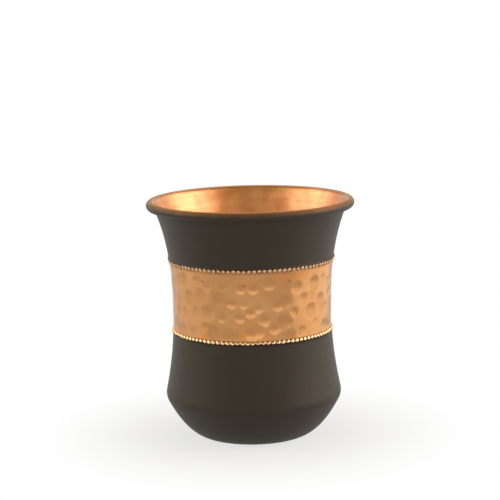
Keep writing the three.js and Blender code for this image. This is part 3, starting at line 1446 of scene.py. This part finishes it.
@dataclass
class Studio:
    """The camera, lamps, white surroundings and pale floor.

    Attributes:
        form: The cup's form, which the camera is set out from.
        picture: The picture's width in pixels.
        focal_pixels: The lens's focal length in those pixels.
        camera_distance: How far the camera stands from the cup's axis.
        camera_rise: How far it stands above the middle of the lip.
        pitch: How far it looks down.
        roll: How far it leans to the right.
        axis_shift: How far the cup's axis lies right of the picture's middle, in pixels.
        sensor: The camera's sensor width in millimetres.
        floor_radius: How far the floor reaches.
        floor_segments: How many steps go round its edge.
        floor_drop: How far it lies below the foot.
        floor_colour: The floor's colour.
        floor_dust: How much paler its dusty patches are.
        floor_near: How far from the axis it begins to turn white.
        floor_white: Where it is all white.
        floor_glow: How white it is close to the foot, where it shows the tumbler's shadow; the fall-off to
            it is a painted soft shadow.
        ambient: How bright the surroundings are as soft light.
        ceiling_colour: The ceiling's colour.
        ceiling_start: How far above the horizon the white turns into the ceiling.
        ceiling_end: Where the ceiling has its full colour.
        lamps: The lamps.
    """

    form: CupForm
    picture: float = 500.0
    focal_pixels: float = 1800.0
    camera_distance: float = 717.5 * MM
    camera_rise: float = 102.0 * MM
    pitch: float = math.radians(9.60)
    roll: float = math.radians(1.2)
    axis_shift: float = 1.0
    sensor: float = 36.0
    floor_radius: float = 2.5
    floor_segments: int = 96
    floor_drop: float = 0.02 * MM
    floor_colour: Colour = (0.66, 0.66, 0.65, 1.0)
    floor_dust: float = 1.03
    floor_near: float = 20.0 * MM
    floor_white: float = 95.0 * MM
    floor_glow: float = 0.7
    ambient: float = 0.5
    ceiling_colour: Colour = (0.34, 0.30, 0.20, 1.0)
    ceiling_start: float = math.radians(8)
    ceiling_end: float = math.radians(36)
    lamps: tuple[Softbox, ...] = (
        Softbox("right_softbox", -4.0, 3.95, elevation=22.0, width=1.00, length=0.68),
        Softbox("rear_softbox", 84.0, 1.3, elevation=50.0, width=1.40, length=0.42),
        Softbox("front_softbox", -90.0, 0.6, elevation=12.0, width=1.30, length=0.30),
        FarStrip("front_strip", -90.0, 1.05),
        FarStrip("rear_strip", 90.0, 1.05),
        NearStrip("right_strip", 6.0, 0.80),
        NearStrip("left_strip", 172.0, 0.30),
        Softbox("left_softbox", 182.0, 2.4, elevation=24.0, width=1.10, length=0.66),
    )

    def camera(self) -> bpy.types.Object:
        """Set the camera where the photograph was taken from.

        Returns:
            The camera.
        """
        lens = bpy.data.cameras.new("camera")
        lens.sensor_width = self.sensor
        lens.lens = self.sensor * self.focal_pixels / self.picture
        lens.dof.use_dof = False
        camera = bpy.data.objects.new("camera", lens)
        aside = -self.axis_shift * self.camera_distance / self.focal_pixels
        height = float(self.form.curl_centre[1]) + self.camera_rise
        place = Matrix.Translation((aside, -self.camera_distance, height))
        tilt = Matrix.Rotation(math.pi / 2.0 - self.pitch, 4, "X")
        camera.matrix_world = place @ tilt @ Matrix.Rotation(-self.roll, 4, "Z")
        bpy.context.scene.collection.objects.link(camera)
        bpy.context.scene.camera = camera
        return camera

    def surroundings(self) -> None:
        """Make the world, white below its ceiling to the camera and the metal, and dimmer as soft light."""
        world = bpy.data.worlds.new("studio")
        world.use_nodes = True
        sheet = NodeSheet(world.node_tree)
        way = sheet.add("ShaderNodeTexCoord").outputs["Generated"]
        height = sheet.add("ShaderNodeSeparateXYZ", {0: way}).outputs["Z"]
        start, end = math.sin(self.ceiling_start), math.sin(self.ceiling_end)
        ceiling = sheet.ranged(height, start, end, 0.0, 1.0)
        background = sheet.add("ShaderNodeBackground", {
            "Color": sheet.mixed(ceiling, WHITE, self.ceiling_colour),
            "Strength": sheet.ranged(sheet.seen(), 0.0, 1.0, self.ambient, 1.0),
        })
        sheet.add("ShaderNodeOutputWorld", {"Surface": background.outputs["Background"]})
        bpy.context.scene.world = world

    def floor_finish(self) -> bpy.types.Material:
        """Make the floor's finish, white to the camera and the metal, greyer round the foot as a painted
        soft shadow, and clear from below.

        Returns:
            The new material.
        """
        sheet = ShaderSheet("pale_floor")
        dust = sheet.ranged(sheet.noise(30.0), 0.3, 0.7, 0.0, 1.0)
        paler = tuple(min(1.0, self.floor_dust * part) for part in self.floor_colour)
        sheet.surface({
            "Base Color": sheet.mixed(dust, self.floor_colour, paler),
            "Roughness": 0.9,
            "Specular IOR Level": 0.0,
        })
        away = sheet.add("ShaderNodeVectorMath", {0: sheet.place}, operation="LENGTH").outputs["Value"]
        # Painted shadow: the white falls off towards the foot, greying the floor round it besides its real
        # shadow.
        whiter = sheet.ranged(away, self.floor_near, self.floor_white, self.floor_glow, 1.0)
        glow = sheet.joined("MULTIPLY", sheet.seen(), whiter)
        white = sheet.add("ShaderNodeEmission", {"Strength": 1.0}).outputs["Emission"]
        both = {0: glow, 1: sheet.shader.outputs["BSDF"], 2: white}
        top = sheet.add("ShaderNodeMixShader", both).outputs[0]
        under = sheet.add("ShaderNodeNewGeometry").outputs["Backfacing"]
        clear = sheet.add("ShaderNodeBsdfTransparent").outputs["BSDF"]
        one_sided = sheet.add("ShaderNodeMixShader", {0: under, 1: top, 2: clear}).outputs[0]
        sheet.fill(sheet.output, {"Surface": one_sided})
        return sheet.material

    def floor(self) -> bpy.types.Object:
        """Lay the floor that the tumbler stands on.

        Returns:
            The floor.
        """
        shape = bmesh.new()
        size = {"radius": self.floor_radius, "segments": self.floor_segments}
        bmesh.ops.create_circle(shape, cap_ends=True, **size)
        mesh = bpy.data.meshes.new("floor")
        shape.to_mesh(mesh)
        shape.free()
        floor = bpy.data.objects.new("floor", mesh)
        floor.data.materials.append(self.floor_finish())
        floor.location.z = -self.floor_drop
        bpy.context.scene.collection.objects.link(floor)
        return floor

    def build(self) -> None:
        """Set up the whole studio."""
        scene = bpy.context.scene
        scene.view_settings.view_transform = "Standard"
        self.camera()
        self.surroundings()
        self.floor()
        middle = Vector((0.0, 0.0, self.form.height / 2.0))
        for softbox in self.lamps:
            softbox.build(middle)


def dress_rim_wire() -> None:
    """Give the wire inside the lip its finish. Its solid shows as it is."""
    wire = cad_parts["rim_wire"]
    wire.data.materials.clear()
    wire.data.materials.append(DrawnWire().material())
    log.info("rim_wire: kept from the frame")


def main() -> None:
    """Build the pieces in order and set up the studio."""
    logging.basicConfig(level=logging.INFO, format="%(message)s")
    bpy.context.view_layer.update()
    form = CupForm()
    band_low, band_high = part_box("hammered_band")
    low_wire, high_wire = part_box("lower_bead_wire"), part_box("upper_bead_wire")
    channel_bottom = low_wire[0][2] - form.fit
    channel_top = high_wire[1][2] + form.fit
    coat = MattCoat().material()
    CupShell(form, channel_bottom, channel_top).build(SpunCopper().material())
    UpperCoat(form, "upper_coat", "upper_coat_skin", channel_top).build(coat)
    LowerCoat(form, "lower_coat", "lower_coat_skin", channel_bottom).build(coat)
    HammeredBand(form, band_low[2], band_high[2]).build(HammeredCopper().material())
    upper_middle = (high_wire[0][2] + high_wire[1][2]) / 2.0
    upper = BeadWire(form, "upper_bead_wire", "upper_beads", upper_middle, Way.UP, lap=0.45, painted_shade=0.55)
    # The upper row takes the darker copy of the bead finish, as painted shade.
    upper.build(ShadedBeadCopper().material())
    lower_middle = (low_wire[0][2] + low_wire[1][2]) / 2.0
    lower = BeadWire(form, "lower_bead_wire", "lower_beads", lower_middle, Way.DOWN, lap=0.16, painted_shade=0.0)
    lower.build(BeadCopper().material())
    dress_rim_wire()
    Studio(form).build()


if __name__ == "__main__":
    main()
